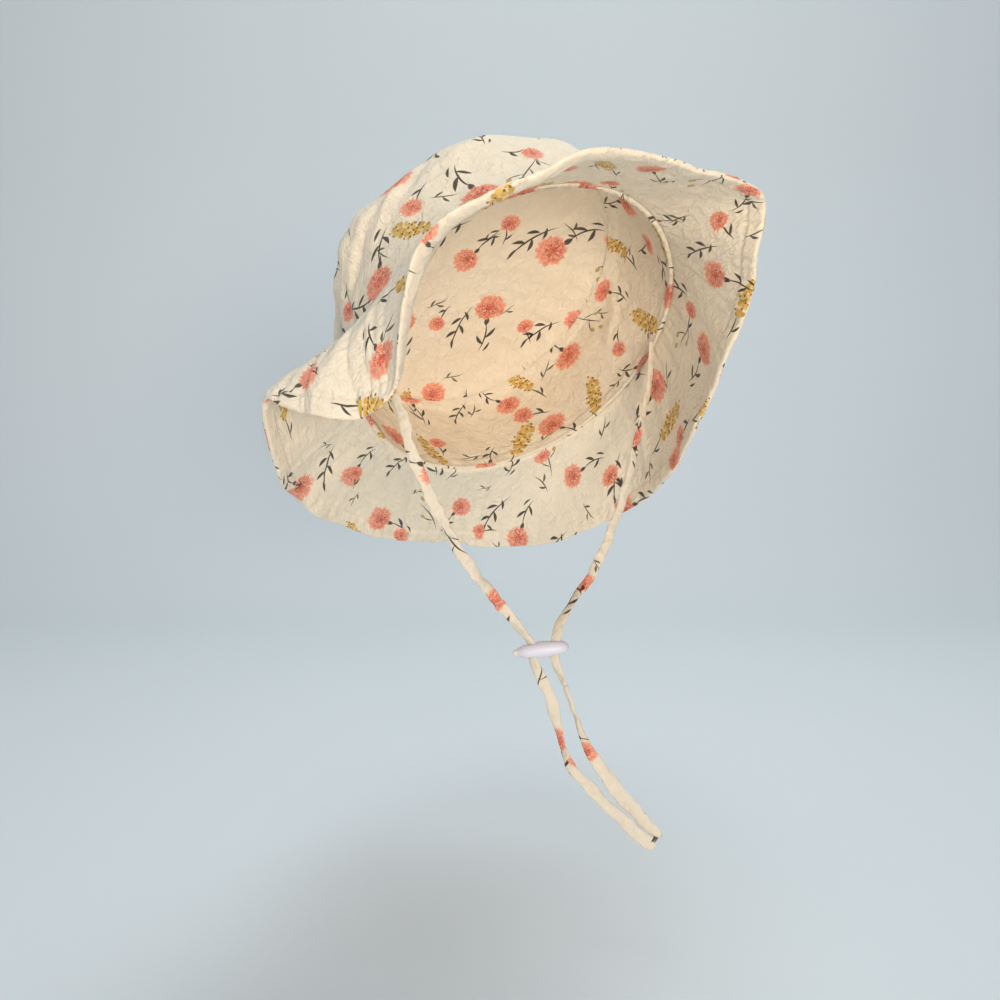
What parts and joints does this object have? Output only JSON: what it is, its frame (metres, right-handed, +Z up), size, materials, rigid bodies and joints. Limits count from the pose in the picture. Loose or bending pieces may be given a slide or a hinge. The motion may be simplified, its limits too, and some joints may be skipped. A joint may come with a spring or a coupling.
{
  "type": "baby bucket hat",
  "caption": "Soft cotton bucket hat for a baby, with a deep crown, a wide floppy brim folded at one side, and a thin cloth chin strap with a sliding toggle.",
  "frame": {"origin": "highest point inside the crown, where the top of the head touches the cloth", "axes": "+Z up in the worn pose, -Y the way the wearer looks, +X to the right in the front view"},
  "size_m": [0.192, 0.2057, 0.2887],
  "materials": {
    "crown_cloth": "crinkled cream cotton with a scattered wildflower print",
    "brim_cloth": "crinkled cream cotton with a scattered wildflower print, on both sides",
    "strap_cloth": "narrow sewn tube of the same printed cotton",
    "toggle_plastic": "satin pale lavender plastic"
  },
  "bodies": {
    "root": {"crown_tip": "crown_cloth", "crown_band": "crown_cloth", "brim": "brim_cloth", "strap_left": "strap_cloth", "strap_right": "strap_cloth", "toggle": "toggle_plastic"}
  },
  "joints": []
}
